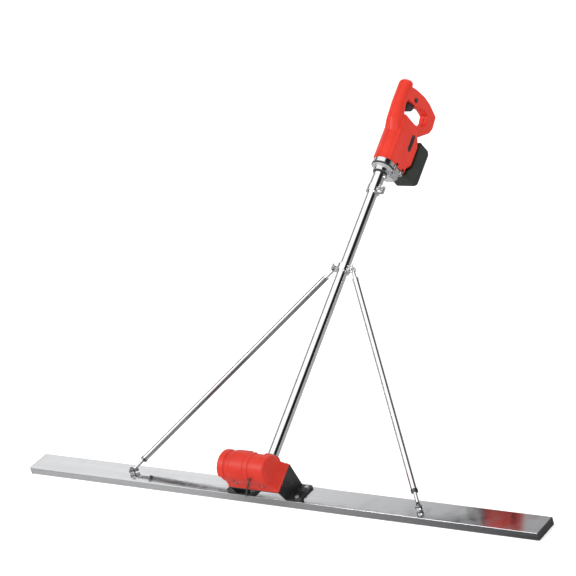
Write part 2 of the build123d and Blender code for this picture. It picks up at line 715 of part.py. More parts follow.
def make_stay(side, word):
    """One telescopic stay: eye and head plug at the clamp, tube, end collar, lower rod and eye."""
    plane, length = stay_plane(side)
    tube_from = 42
    tube_to = length - 62
    with BuildPart() as head:
        with BuildSketch(pivot_plane(side, -EYE_PLATE / 2)):
            Circle(9)
            Circle(M8_R + GAP, mode=Mode.SUBTRACT)
        extrude(amount=EYE_PLATE)
        with BuildSketch(plane.offset(7)):
            Rectangle(EYE_PLATE, 2 * STAY_ROD_R)
        extrude(amount=5)
        with BuildSketch(plane.offset(11)):
            Circle(STAY_ROD_R)
        extrude(amount=tube_from - 11)
        with BuildSketch(plane.offset(tube_from - 4)):
            Circle(STAY_TUBE_R + 0.8)
        extrude(amount=4)
        with BuildSketch(plane.offset(tube_from)):
            Circle(STAY_TUBE_BORE - 0.02)
        extrude(amount=22)
        with BuildSketch(pivot_plane(side, -EYE_PLATE / 2)):
            Circle(M8_R + GAP)
        extrude(amount=EYE_PLATE, mode=Mode.SUBTRACT)
    save(head, f"{word}_stay_head")

    with BuildPart() as body:
        with BuildSketch(plane.offset(tube_from)):
            Circle(STAY_TUBE_R)
            Circle(STAY_TUBE_BORE, mode=Mode.SUBTRACT)
        extrude(amount=tube_to - tube_from)
    save(body, f"{word}_stay_tube")

    with BuildPart() as collar:
        with BuildSketch(plane.offset(tube_to - 20)):
            Circle(STAY_TUBE_BORE - 0.02)
        extrude(amount=20)
        with BuildSketch(plane.offset(tube_to)):
            Circle(STAY_TUBE_R + 1.5)
        extrude(amount=9)
        chamfer(collar.faces().sort_by(Axis(plane.origin, plane.z_dir))[-1].edges(), 1.2)
        with BuildSketch(plane.offset(tube_to - 21)):
            Circle(STAY_ROD_R + GAP)
        extrude(amount=40, mode=Mode.SUBTRACT)
    save(collar, f"{word}_stay_collar")

    foot = Plane(origin=(side * FOOT_X, FOOT_Y, EYE_RISE - EYE_PLATE / 2),
                 x_dir=(-plane.z_dir.X, -plane.z_dir.Y, 0))
    with BuildPart() as rod:
        with BuildSketch(plane.offset(tube_to - 90)):
            Circle(STAY_ROD_R)
        extrude(amount=length - 9 - tube_to + 90)
        with BuildSketch(foot):
            Circle(11)
            with Locations((11, 0)):
                Rectangle(22, 13)
        extrude(amount=EYE_PLATE)
        with BuildSketch(foot):
            Circle(M8_R + 0.7)
        extrude(amount=EYE_PLATE, mode=Mode.SUBTRACT)
        with BuildSketch(foot.offset(EYE_PLATE)):
            Circle(11)
        extrude(amount=14, mode=Mode.SUBTRACT)
    save(rod, f"{word}_stay_rod")


for side, word in ((-1, "left"), (1, "right")):
    make_stay(side, word)

EYE_BOTTOM = EYE_RISE - EYE_PLATE / 2
EYE_TOP = EYE_RISE + EYE_PLATE / 2


def foot_nut(x, y):
    """Domed flange nut that holds a stay's lower eye on its stud."""
    with BuildPart() as nut:
        with BuildSketch(Plane(origin=(x, y, EYE_TOP + 0.4))):
            RegularPolygon(7.5, 6)
        extrude(amount=6)
        with BuildSketch(Plane(origin=(x, y, EYE_TOP + 0.4))):
            Circle(8.6)
        extrude(amount=1.2)
        with BuildSketch(Plane(origin=(x, y, EYE_TOP + 6.4))):
            Circle(5.8)
        extrude(amount=4, taper=25)
        with BuildSketch(Plane(origin=(x, y, EYE_TOP))):
            Circle(M8_R)
        extrude(amount=8.2, mode=Mode.SUBTRACT)
    return nut.part


with BuildPart() as foot_fasteners:
    for x, y in STAY_HOLES:
        with BuildSketch(Plane(origin=(x, y, BOARD_HEIGHT - 11))):
            Circle(M8_R - 0.02)
        extrude(amount=EYE_TOP + 8 - BOARD_HEIGHT + 11)
        with BuildSketch(Plane(origin=(x, y, BOARD_HEIGHT))):
            RegularPolygon(9, 6)
        extrude(amount=EYE_BOTTOM - BOARD_HEIGHT - 0.3)
        add(foot_nut(x, y))
save(foot_fasteners, "foot_fasteners")

# ================================================================ sleeve and gear case
SLEEVE_CLAMP = 26            # height of the clamp band at the sleeve's lower end
EAR_FACE = 1.5               # half of the slit between the clamp ears
EAR_BOLT_X = SLEEVE_R + 10.5

with BuildPart() as pole_sleeve:
    with BuildSketch(across(SLEEVE_START)):
        Circle(SLEEVE_R)
    extrude(amount=NECK_V + 6 - SLEEVE_START)
    with BuildSketch(across(SLEEVE_START)):
        Circle(SLEEVE_R + 2.5)
        with Locations((SLEEVE_R + 8, 0)):
            Rectangle(20, 15)
    extrude(amount=SLEEVE_CLAMP)
    with BuildSketch(across(SLEEVE_START)):
        Circle(POLE_R + GAP)
    extrude(amount=90, mode=Mode.SUBTRACT)
    with BuildSketch(across(SLEEVE_START)):
        with Locations((SLEEVE_R + 4, 0)):
            Rectangle(34, 2 * EAR_FACE)
    extrude(amount=SLEEVE_CLAMP + 14, mode=Mode.SUBTRACT)
    with BuildSketch(Plane(origin=mast.from_local_coords((EAR_BOLT_X, 0, SLEEVE_START + 13)),
                           x_dir=ALONG, z_dir=OFF_SEAT)):
        Circle(3 + GAP)
    extrude(amount=20, both=True, mode=Mode.SUBTRACT)
    with BuildSketch(Plane(origin=mast.from_local_coords((0, 0, SLEEVE_START + 62)),
                           x_dir=ALONG, z_dir=(1, 0, 0))):
        Circle(2.5 + GAP)
    extrude(amount=40, mode=Mode.SUBTRACT)
save(pole_sleeve, "pole_sleeve")

BOLT_AXIS = mast.from_local_coords((EAR_BOLT_X, 0, SLEEVE_START + 13))
above = Plane(origin=BOLT_AXIS + OFF_SEAT * 7.7, x_dir=ALONG, z_dir=OFF_SEAT)
save(wing_nut(above, 3 + GAP, NUT_SPAN), "sleeve_wing_nut")

SCREW_FACE = Plane(origin=mast.from_local_coords((SLEEVE_R + 1, 0, SLEEVE_START + 62)), x_dir=ALONG,
                   z_dir=(1, 0, 0))
with BuildPart() as sleeve_screws:
    below = Plane(origin=BOLT_AXIS - OFF_SEAT * 7.52, x_dir=ALONG, z_dir=-OFF_SEAT)
    add(hex_bolt(below, 3, 27, 4, 10))
    with BuildSketch(SCREW_FACE):
        Circle(2.5)
    extrude(amount=1 - SLEEVE_R + POLE_R)
    with BuildSketch(SCREW_FACE):
        Circle(6)
        with PolarLocations(6.6, 8):
            Circle(1.2, mode=Mode.SUBTRACT)
    extrude(amount=7)
save(sleeve_screws, "sleeve_screws")

LUMP_R = 31
CASE_FLOOR = NECK_V + 12
CASE_BOLTS = [(x, y) for x in (-31.5, 31.5) for y in (24, 62)]

with BuildPart() as gear_case:
    with BuildSketch(across(NECK_V)):
        Circle(26)
    extrude(amount=CASE_FLOOR - NECK_V)
    with BuildSketch(across(CASE_FLOOR)):
        Circle(29)
    with BuildSketch(across(CASE_FLOOR + 6)):
        Circle(CASE_R)
    loft()
    with BuildSketch(across(CASE_FLOOR + 6)):
        Circle(CASE_R)
    extrude(amount=CASE_TOP - CASE_FLOOR - 6)
    with BuildSketch(across(NECK_V + 2)) as lump_foot:
        with Locations((0, MOTOR_Y - 2)):
            RectangleRounded(44, 38, 14)
    with BuildSketch(across(NECK_V + 14)) as lump_waist:
        with Locations((0, MOTOR_Y - 2)):
            RectangleRounded(2 * LUMP_R, 54, 20)
    loft()
    with BuildSketch(across(NECK_V + 14)):
        with Locations((0, MOTOR_Y - 2)):
            RectangleRounded(2 * LUMP_R, 54, 20)
    extrude(amount=CASE_TOP - NECK_V - 14)
    with BuildSketch(across(CASE_TOP - 11)):
        with Locations(*CASE_BOLTS):
            Circle(6.5)
    extrude(amount=11)
    with BuildSketch(across(CASE_TOP - 11)):
        with Locations(*CASE_BOLTS):
            Circle(5.6)
    extrude(amount=-30, mode=Mode.SUBTRACT)
    with BuildSketch(across(CASE_FLOOR + 5)):
        Circle(32.5)
        with Locations((0, MOTOR_Y)):
            Circle(18)
    extrude(amount=30, mode=Mode.SUBTRACT)
    with BuildSketch(across(CASE_FLOOR - 2)):
        Circle(BEARING_R)
    extrude(amount=20, mode=Mode.SUBTRACT)
    with BuildSketch(across(CASE_FLOOR - 2)):
        with Locations((0, MOTOR_Y)):
            Circle(BEARING_R - 2)
    extrude(amount=20, mode=Mode.SUBTRACT)
    with BuildSketch(across(NECK_V - 1)):
        Circle(SLEEVE_R + 0.02)
    extrude(amount=7.2, mode=Mode.SUBTRACT)
    with BuildSketch(across(NECK_V - 1)):
        Circle(8.5)
    extrude(amount=20, mode=Mode.SUBTRACT)
    with BuildSketch(across(CASE_TOP)):
        with Locations(*CASE_BOLTS):
            Circle(2.5)
    extrude(amount=-20, mode=Mode.SUBTRACT)
save(gear_case, "gear_case")

with BuildPart() as seal_rings:
    with BuildSketch(across(NECK_V - 6)):
        Circle(SLEEVE_R + 2.6)
        Circle(SLEEVE_R + 0.02, mode=Mode.SUBTRACT)
    extrude(amount=6)
    with BuildSketch(across(CASE_FLOOR + 7)):
        Circle(CASE_R + 1.6)
        Circle(CASE_R + 0.02, mode=Mode.SUBTRACT)
        with Locations((0, CASE_R)):
            Rectangle(2 * CASE_R, 2 * CASE_R - 20, mode=Mode.SUBTRACT)
    extrude(amount=5)
save(seal_rings, "seal_rings")

with BuildPart() as gear_case_bolts:
    for x, y in CASE_BOLTS:
        under = Plane(origin=mast.from_local_coords((x, y, CASE_TOP - 11.02)), x_dir=(1, 0, 0), z_dir=-ALONG)
        add(hex_bolt(under, 2.45, 19, 4, 8))
save(gear_case_bolts, "gear_case_bolts")

PLATE_V = CASE_TOP + 0.2
with BuildPart() as bearing_plate:
    with BuildSketch(across(PLATE_V)):
        Circle(33)
        with Locations((0, MOTOR_Y - 2)):
            RectangleRounded(56, 50, 18)
        with Locations(*[(0.9 * x, y) for x, y in CASE_BOLTS]):
            Circle(6)
    extrude(amount=BEARING_WIDTH + 2)
    with BuildSketch(across(PLATE_V)):
        Circle(BEARING_R)
        with Locations((0, MOTOR_Y)):
            Circle(BEARING_R - 2)
    extrude(amount=BEARING_WIDTH, mode=Mode.SUBTRACT)
    with BuildSketch(across(PLATE_V)):
        Circle(9)
        with Locations((0, MOTOR_Y)):
            Circle(6)
        with Locations(*CASE_BOLTS):
            Circle(2.5)
    extrude(amount=20, mode=Mode.SUBTRACT)
save(bearing_plate, "bearing_plate")


# ================================================================ spur pair and motor
def spur_teeth(plane, teeth, face, turn):
    """Spur gear outline: root disc with straight-flanked teeth of slightly reduced thickness."""
    pitch_r = SPUR_MODULE * teeth / 2
    root_r = pitch_r - 1.25 * SPUR_MODULE
    tip_r = pitch_r + 0.85 * SPUR_MODULE
    with BuildSketch(plane) as outline:
        Circle(root_r)
        with PolarLocations(0, teeth, start_angle=turn):
            with BuildLine():
                Polyline((root_r - 0.6, -1.25 * SPUR_MODULE), (pitch_r, -0.66 * SPUR_MODULE),
                         (tip_r, -0.32 * SPUR_MODULE), (tip_r, 0.32 * SPUR_MODULE),
                         (pitch_r, 0.66 * SPUR_MODULE), (root_r - 0.6, 1.25 * SPUR_MODULE), close=True)
            make_face()
    return outline.sketch


MOTOR = Plane(origin=mast.from_local_coords((0, MOTOR_Y, 0)), x_dir=(1, 0, 0), z_dir=ALONG)
HUB_R = 8

with BuildPart() as output_gear:
    extrude(spur_teeth(across(SPUR_V), OUTPUT_TEETH, SPUR_FACE, 90), amount=SPUR_FACE)
    with BuildSketch(across(CASE_FLOOR - 1)):
        Circle(HUB_R)
    extrude(amount=PLATE_V + BEARING_WIDTH - CASE_FLOOR + 1)
    for v, depth in ((SPUR_V, 3), (SPUR_V + SPUR_FACE, -3)):
        with BuildSketch(across(v)):
            Circle(24)
            Circle(13, mode=Mode.SUBTRACT)
        extrude(amount=depth, mode=Mode.SUBTRACT)
    with BuildSketch(across(CASE_FLOOR - 1)):
        RegularPolygon(HEX_FLATS / 2 + 0.08, 6, major_radius=False)
    extrude(amount=50, mode=Mode.SUBTRACT)
save(output_gear, "output_gear")

ROTOR_START = 1226
ROTOR_LENGTH = 52
BRACKET_V = 1312
with BuildPart() as motor_shaft:
    with BuildSketch(MOTOR.offset(CASE_FLOOR - 1)):
        Circle(4)
    extrude(amount=BRACKET_V + BEARING_WIDTH - CASE_FLOOR + 1)
    extrude(spur_teeth(MOTOR.offset(SPUR_V - 0.5), PINION_TEETH, SPUR_FACE, 90 + 180 / PINION_TEETH),
            amount=SPUR_FACE + 1)
save(motor_shaft, "motor_shaft")

with BuildPart() as rotor_core:
    with BuildSketch(MOTOR.offset(ROTOR_START)):
        Circle(14)
        Circle(4.01, mode=Mode.SUBTRACT)
        with PolarLocations(10.5, 4):
            Rectangle(1.6, 9, mode=Mode.SUBTRACT)
    extrude(amount=ROTOR_LENGTH)
save(rotor_core, "rotor_core")

with BuildPart() as stator:
    with BuildSketch(MOTOR.offset(ROTOR_START + 2)):
        Circle(26)
        Circle(22, mode=Mode.SUBTRACT)
        with PolarLocations(18.6, 6):
            Rectangle(8, 6)
        with PolarLocations(16, 6):
            Rectangle(2, 11)
        Circle(14.8, mode=Mode.SUBTRACT)
    extrude(amount=ROTOR_LENGTH - 4)
    with BuildSketch(MOTOR.offset(ROTOR_START - 4)):
        Circle(21.5)
        Circle(16.8, mode=Mode.SUBTRACT)
    extrude(amount=5.5)
    with BuildSketch(MOTOR.offset(ROTOR_START + ROTOR_LENGTH - 1.5)):
        Circle(21.5)
        Circle(16.8, mode=Mode.SUBTRACT)
    extrude(amount=5.5)
save(stator, "stator")

FAN_V = 1290
with BuildPart() as cooling_fan:
    with BuildSketch(MOTOR.offset(FAN_V)):
        Circle(23)
    extrude(amount=1.6)
    with BuildSketch(MOTOR.offset(FAN_V)):
        Circle(8)
    extrude(amount=10)
    with BuildSketch(MOTOR.offset(FAN_V + 1.6)):
        with PolarLocations(14.5, 11):
            Rectangle(15, 1.4, rotation=28)
    extrude(amount=9)
    with BuildSketch(MOTOR.offset(FAN_V)):
        Circle(4.01)
    extrude(amount=12, mode=Mode.SUBTRACT)
save(cooling_fan, "cooling_fan")

with BuildPart() as motor_bracket:
    with BuildSketch(MOTOR.offset(BRACKET_V)):
        Circle(BEARING_R + 1)
        with PolarLocations(20, 4):
            Rectangle(22, 7)
        Circle(BEARING_R - 2, mode=Mode.SUBTRACT)
    extrude(amount=BEARING_WIDTH)
save(motor_bracket, "motor_bracket")

with BuildPart() as head_bearings:
    add(bearing(across(CASE_FLOOR - 2), BEARING_R, HUB_R))
    add(bearing(across(PLATE_V), BEARING_R, HUB_R))
    add(bearing(MOTOR.offset(CASE_FLOOR - 2), BEARING_R - 2, 4))
    add(bearing(MOTOR.offset(PLATE_V), BEARING_R - 2, 4))
    add(bearing(MOTOR.offset(BRACKET_V), BEARING_R - 2, 4))
save(head_bearings, "head_bearings")

# ================================================================ drive head housing
HEAD_START = CASE_TOP + 0.3
SPINE_R = 37
COLUMN_TOP = 1486
COLUMN_WIDE = 25.5           # half-width and half-depth of the grip column
COLUMN_DEEP = 21
BOX_HALF = 36.5
BOX_OUTLINE = [(HEAD_START, 24), (HEAD_START, -76), (1214, -80), (1236, -98), (1308, -98),
               (1334, -82), (1366, -40), (1366, 24)]
GRIP_OUTLINE = [(1340, 30), (1340, -86), (1356, -106), (1402, -153), (1424, -161), (1471, -155),
                (1487, -98), (1490, -60), (1484, -10), (1474, 30)]
OPENING = [(1371, 24), (1375, -40), (1380, -77), (1404, -112), (1418, -118), (1444, -113),
           (1449, -78), (1432, -44), (1425, 24)]


def side_form(points, inset, half, corner, edge):
    """Prism on the head's side view, with rounded corners and rounded rims."""
    with BuildPart() as form:
        with BuildSketch(profile.offset(-half)) as outline:
            with BuildLine():
                Polyline(*points, close=True)
            make_face()
            fillet(outline.vertices(), corner)
            if inset:
                offset(amount=-inset, mode=Mode.REPLACE)
        extrude(amount=2 * half)
        rims = form.faces().sort_by(Axis.X)
        fillet(rims[0].edges() + rims[-1].edges(), edge)
    return form.part


def column_form(inset):
    """Round spine above the gear case that swells into the taller grip column."""
    with BuildPart() as form:
        with BuildSketch(across(HEAD_START)):
            Circle(SPINE_R - inset)
        extrude(amount=1296 - HEAD_START)
        with BuildSketch(across(1296)):
            Circle(SPINE_R - inset)
        with BuildSketch(across(1334)):
            with Locations((0, -25)):
                Ellipse(28 - inset, 30 - inset)
        loft()
        with BuildSketch(across(1334)):
            with Locations((0, -25)):
                Ellipse(28 - inset, 30 - inset)
        with BuildSketch(across(1400)):
            with Locations((0, -39)):
                Ellipse(COLUMN_WIDE - inset, COLUMN_DEEP - inset)
        loft()
        with BuildSketch(across(1400)):
            with Locations((0, -39)):
                Ellipse(COLUMN_WIDE - inset, COLUMN_DEEP - inset)
        extrude(amount=COLUMN_TOP - inset - 1400)
        fillet(form.faces().sort_by(Axis(mast.origin, ALONG))[-1].edges(), 14)
    return form.part


def housing_form(inset):
    """Whole outside of the drive head, or its hollow when inset by the wall."""
    with BuildPart() as form:
        add(side_form(GRIP_OUTLINE, inset, GRIP_HALF - inset, 12, 9 - inset))
        add(side_form(OPENING, -inset, GRIP_HALF + 5, 6, 0.5), mode=Mode.SUBTRACT)
        add(side_form(BOX_OUTLINE, inset, BOX_HALF - inset, 5, 10 - inset))
        add(column_form(inset))
    return form.part


POSTS = [(1211, -66, BOX_HALF), (1346, -54, BOX_HALF), (1383, -112, GRIP_HALF),
         (1436, -138, GRIP_HALF), (1469, -100, GRIP_HALF)]
VENT = (1299, -54)
VENT_LONG = 64
VENT_WIDE = 19
LOCK = (1447, -20)
LOCK_R = 8
TRIGGER_W = (-34, -3)


def at_side(v, w, x):
    """Plane facing the operator's right at a place in the head's side view."""
    return Plane(origin=profile.from_local_coords((v, w, x)), x_dir=ALONG, z_dir=(1, 0, 0))


def from_left(v, w, x):
    """Plane facing the operator's left, x to the left of the parting line."""
    return Plane(origin=profile.from_local_coords((v, w, -x)), x_dir=ALONG, z_dir=(-1, 0, 0))


with BuildPart() as posts:
    for v, w, half in POSTS:
        with BuildSketch(at_side(v, w, 1 - half)):
            Circle(4.6)
        extrude(amount=2 * half - 2)

outside = housing_form(0)
hollow = housing_form(SHELL)
with BuildPart() as housing_whole:
    add(outside)
    add(hollow, mode=Mode.SUBTRACT)
    with BuildSketch(across(HEAD_START - 1)):
        Circle(SPINE_R - SHELL)
        with Locations((0, 26)):
            Rectangle(2 * (BOX_HALF - SHELL) - 6, 86)
        with Locations(*CASE_BOLTS):
            Circle(6.5)
    extrude(amount=14, mode=Mode.SUBTRACT)
    add(posts.part)
    for v, w, half in POSTS:
        with BuildSketch(from_left(v, w, 14 - half)):
            Circle(1.7)
        extrude(amount=2 * half, mode=Mode.SUBTRACT)
        with BuildSketch(from_left(v, w, half - 3)):
            Circle(3.4)
        extrude(amount=10, mode=Mode.SUBTRACT)
    for side in (-1, 1):
        with BuildSketch(at_side(*VENT, side * BOX_HALF - 6)):
            SlotOverall(VENT_LONG, VENT_WIDE)
        extrude(amount=12, mode=Mode.SUBTRACT)
    with BuildSketch(profile.offset(-8.4)):
        with Locations((1438, sum(TRIGGER_W) / 2)):
            Rectangle(30, TRIGGER_W[1] - TRIGGER_W[0] + 1.4)
    extrude(amount=16.8, mode=Mode.SUBTRACT)
    with BuildSketch(at_side(*LOCK, 10)):
        Circle(LOCK_R + GAP)
    extrude(amount=12, mode=Mode.SUBTRACT)
    with BuildSketch(Plane(origin=profile.from_local_coords((0, -94, 0)), x_dir=ALONG, z_dir=-OFF_SEAT)):
        with Locations((1271, 0)):
            Rectangle(50, 24)
    extrude(amount=8, mode=Mode.SUBTRACT)

parting = Plane(origin=mast.origin, x_dir=ALONG, z_dir=(1, 0, 0))
with BuildPart() as housing_left:
    add(housing_whole.part)
    split(bisect_by=parting, keep=Keep.BOTTOM)
save(housing_left, "housing_left")

with BuildPart() as housing_right:
    add(housing_whole.part)
    split(bisect_by=parting, keep=Keep.TOP)
save(housing_right, "housing_right")

with BuildPart() as housing_screws:
    for v, w, half in POSTS:
        seat_x = half - 3
        with BuildSketch(from_left(v, w, seat_x)):
            Circle(3.2)
        extrude(amount=2.2)
        with BuildSketch(from_left(v, w, seat_x + 2.2)):
            Rectangle(4.2, 0.9)
            Rectangle(0.9, 4.2)
        extrude(amount=-1.2, mode=Mode.SUBTRACT)
        with BuildSketch(from_left(v, w, seat_x)):
            Circle(1.6)
        extrude(amount=-2 * half + 18)
save(housing_screws, "housing_screws")

with BuildPart() as vent_grilles:
    for side in (-1, 1):
        with BuildSketch(at_side(*VENT, side * (BOX_HALF - 2) - 1)):
            SlotOverall(VENT_LONG - 0.2, VENT_WIDE - 0.2)
            with GridLocations(6, 0, 7, 1):
                Rectangle(2.6, VENT_WIDE - 6, mode=Mode.SUBTRACT)
        extrude(amount=2)
save(vent_grilles, "vent_grilles")

# ================================================================ controls
with BuildPart() as trigger:
    with BuildSketch(profile.offset(-7.8)):
        with BuildLine():
            Line((1400, TRIGGER_W[1]), (1444, TRIGGER_W[1]))
            Line((1444, TRIGGER_W[1]), (1444, TRIGGER_W[0]))
            Line((1444, TRIGGER_W[0]), (1424, TRIGGER_W[0]))
            ThreePointArc((1424, TRIGGER_W[0]), (1404, -22), (1400, TRIGGER_W[1]))
        make_face()
    extrude(amount=15.6)
save(trigger, "trigger")

SPRING_PLACE = profile.from_local_coords((1444.6, -20, 0))
SPRING_LENGTH = 12.6
WIRE_R = 0.55
with BuildPart() as trigger_spring:
    with BuildLine() as coil:
        Helix(pitch=2.6, height=SPRING_LENGTH - 2 * WIRE_R, radius=3.6, direction=ALONG,
              center=SPRING_PLACE + ALONG * WIRE_R)
    with BuildSketch(Plane(origin=coil.line @ 0, z_dir=coil.line % 0)):
        Circle(WIRE_R)
    sweep(is_frenet=True)
save(trigger_spring, "trigger_spring")

with BuildPart() as switch_body:
    with BuildSketch(profile.offset(-10)):
        with Locations((1468, -24)):
            RectangleRounded(20, 36, 2)
    extrude(amount=20)
save(switch_body, "switch_body")

with BuildPart() as lock_button:
    with BuildSketch(at_side(*LOCK, 12)):
        Circle(LOCK_R + 1.2)
    extrude(amount=1.6)
    with BuildSketch(at_side(*LOCK, 12)):
        Circle(LOCK_R)
    extrude(amount=8.5)
    fillet(lock_button.faces().sort_by(Axis.X)[-1].edges(), 1)
save(lock_button, "lock_button")

with BuildPart() as controller_board:
    with BuildSketch(across(1345)):
        with Locations((0, -33)):
            Rectangle(36, 1.6)
    extrude(amount=76)
    with BuildSketch(Plane(origin=profile.from_local_coords((0, 33.8, 0)), x_dir=ALONG, z_dir=OFF_SEAT)):
        with Locations((1360, 0), (1382, 10), (1382, -10), (1404, 0)):
            Rectangle(14, 14)
    extrude(amount=7)
save(controller_board, "controller_board")

# ================================================================ battery
PACK_FACE = -100.5
PACK_LIP = -84                # the pack's lower end steps up beside the gear case
PACK_OUTLINE = [(1192, PACK_LIP), (1210, PACK_LIP), (1229, PACK_FACE), (1332, PACK_FACE),
                (1332, -150), (1320, -161), (1204, -161), (1192, -150)]
PACK_HALF = 40
RAIL = (1240, 1302)
with BuildPart() as terminal_block:
    for half, near, far in ((11.5, -94.6, -98.2), (14, -98.2, -104), (20, -104, -109)):
        with BuildSketch(profile.offset(-half)):
            with Locations(((RAIL[0] + RAIL[1]) / 2, (near + far) / 2)):
                length = RAIL[1] - RAIL[0] if half > 12 else 46
                Rectangle(length, near - far)
        extrude(amount=2 * half)
save(terminal_block, "terminal_block")

with BuildPart() as battery_case:
    with BuildSketch(profile.offset(-PACK_HALF)):
        with BuildLine():
            Polyline(*PACK_OUTLINE, close=True)
        make_face()
    extrude(amount=2 * PACK_HALF)
    chamfer(battery_case.edges().filter_by(Axis.X, reverse=True).filter_by(
        lambda e: (e @ 0.5 - profile.origin).dot(OFF_SEAT) < PACK_FACE - 2), 5)
    for half, near, far in ((14.4, -99, -104.4), (20.4, -103.6, -109.4)):
        with BuildSketch(profile.offset(-half)):
            with Locations((1287, (near + far) / 2)):
                Rectangle(96, near - far)
        extrude(amount=2 * half, mode=Mode.SUBTRACT)
    with BuildSketch(profile.offset(-PACK_HALF + 3)):
        with Locations((1262, -134.5)):
            RectangleRounded(130, 45, 9)
    extrude(amount=2 * PACK_HALF - 6, mode=Mode.SUBTRACT)
    with BuildSketch(across(1320)):
        with Locations((0, 130)):
            RectangleRounded(26.6, 16.6, 3)
    extrude(amount=20, mode=Mode.SUBTRACT)
save(battery_case, "battery_case")

with BuildPart() as battery_cells:
    for v in range(5):
        for w in range(2):
            with BuildSketch(at_side(1224 + 19 * v, -124 - 19 * w, -32.5)):
                Circle(9.2)
            extrude(amount=65)
save(battery_cells, "battery_cells")

with BuildPart() as battery_latch:
    with BuildSketch(across(1325.5)):
        with Locations((0, 130)):
            RectangleRounded(26, 16, 2.8)
    extrude(amount=9)
    with BuildSketch(across(1334.5)):
        with GridLocations(0, 3.2, 1, 4):
            with Locations((0, 130)):
                Rectangle(18, 1.2)
    extrude(amount=-0.8, mode=Mode.SUBTRACT)
save(battery_latch, "battery_latch")
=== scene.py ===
"""Power screed: looks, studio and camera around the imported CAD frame. Units are metres."""
import json
import math

import bmesh
import bpy
from mathutils import Matrix, Vector


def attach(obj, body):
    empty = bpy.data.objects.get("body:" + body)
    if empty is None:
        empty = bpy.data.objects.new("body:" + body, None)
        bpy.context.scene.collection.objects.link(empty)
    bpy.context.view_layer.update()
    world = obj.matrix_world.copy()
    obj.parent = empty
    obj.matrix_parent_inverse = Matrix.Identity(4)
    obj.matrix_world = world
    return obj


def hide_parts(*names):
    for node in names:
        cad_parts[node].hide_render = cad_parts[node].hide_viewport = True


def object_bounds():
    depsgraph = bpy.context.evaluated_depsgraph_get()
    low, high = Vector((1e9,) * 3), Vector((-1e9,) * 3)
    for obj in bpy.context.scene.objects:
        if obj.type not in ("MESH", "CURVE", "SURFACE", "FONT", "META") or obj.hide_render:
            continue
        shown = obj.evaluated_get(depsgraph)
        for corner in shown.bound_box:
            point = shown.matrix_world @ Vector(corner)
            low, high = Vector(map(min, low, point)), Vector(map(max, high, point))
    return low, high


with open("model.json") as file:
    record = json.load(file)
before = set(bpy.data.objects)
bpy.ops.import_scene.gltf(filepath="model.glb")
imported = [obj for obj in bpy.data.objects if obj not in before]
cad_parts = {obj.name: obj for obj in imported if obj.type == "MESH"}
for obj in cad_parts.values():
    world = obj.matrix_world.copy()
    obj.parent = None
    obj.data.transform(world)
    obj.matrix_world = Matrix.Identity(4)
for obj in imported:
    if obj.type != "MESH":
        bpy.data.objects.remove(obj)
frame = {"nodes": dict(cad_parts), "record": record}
CAD_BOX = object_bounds()
MM = 0.001

# ---------------------------------------------------------------- pole direction and camera
POLE_TILT = math.radians(32)
ALONG = Vector((0, math.cos(POLE_TILT), math.sin(POLE_TILT)))

VIEW_AZIMUTH = math.radians(41.15)
VIEW_ELEVATION = math.radians(23.42)
VIEW_ROLL = math.radians(-15.77)
VIEW_DISTANCE = 7.124
VIEW_AIM = Vector((0.009, 0.334, 0.568))
LENS = 141.5                 # millimetres on a 36 mm sensor
SENSOR_WIDTH = 36


def view_axes():
    """Right, up and backward directions of the camera."""
    back = Vector((math.sin(VIEW_AZIMUTH) * math.cos(VIEW_ELEVATION),
                   -math.cos(VIEW_AZIMUTH) * math.cos(VIEW_ELEVATION),
                   math.sin(VIEW_ELEVATION)))
    level = Vector((0, 0, 1)).cross(back).normalized()
    upright = back.cross(level)
    right = math.cos(VIEW_ROLL) * level + math.sin(VIEW_ROLL) * upright
    up = math.cos(VIEW_ROLL) * upright - math.sin(VIEW_ROLL) * level
    return right, up, back


def add_camera():
    right, up, back = view_axes()
    data = bpy.data.cameras.new("camera")
    data.lens = LENS
    data.sensor_width = SENSOR_WIDTH
    camera = bpy.data.objects.new("camera", data)
    place = VIEW_AIM + back * VIEW_DISTANCE
    turn = Matrix((right, up, back)).transposed().to_4x4()
    camera.matrix_world = Matrix.Translation(place) @ turn
    bpy.context.scene.collection.objects.link(camera)
    bpy.context.scene.camera = camera


# ---------------------------------------------------------------- material helpers
EDGE_RAGGED = 0.08           # how far noise breaks up the worn edges
EDGE_GRAIN_MM = 3.0
EDGE_SOFTNESS = 0.04


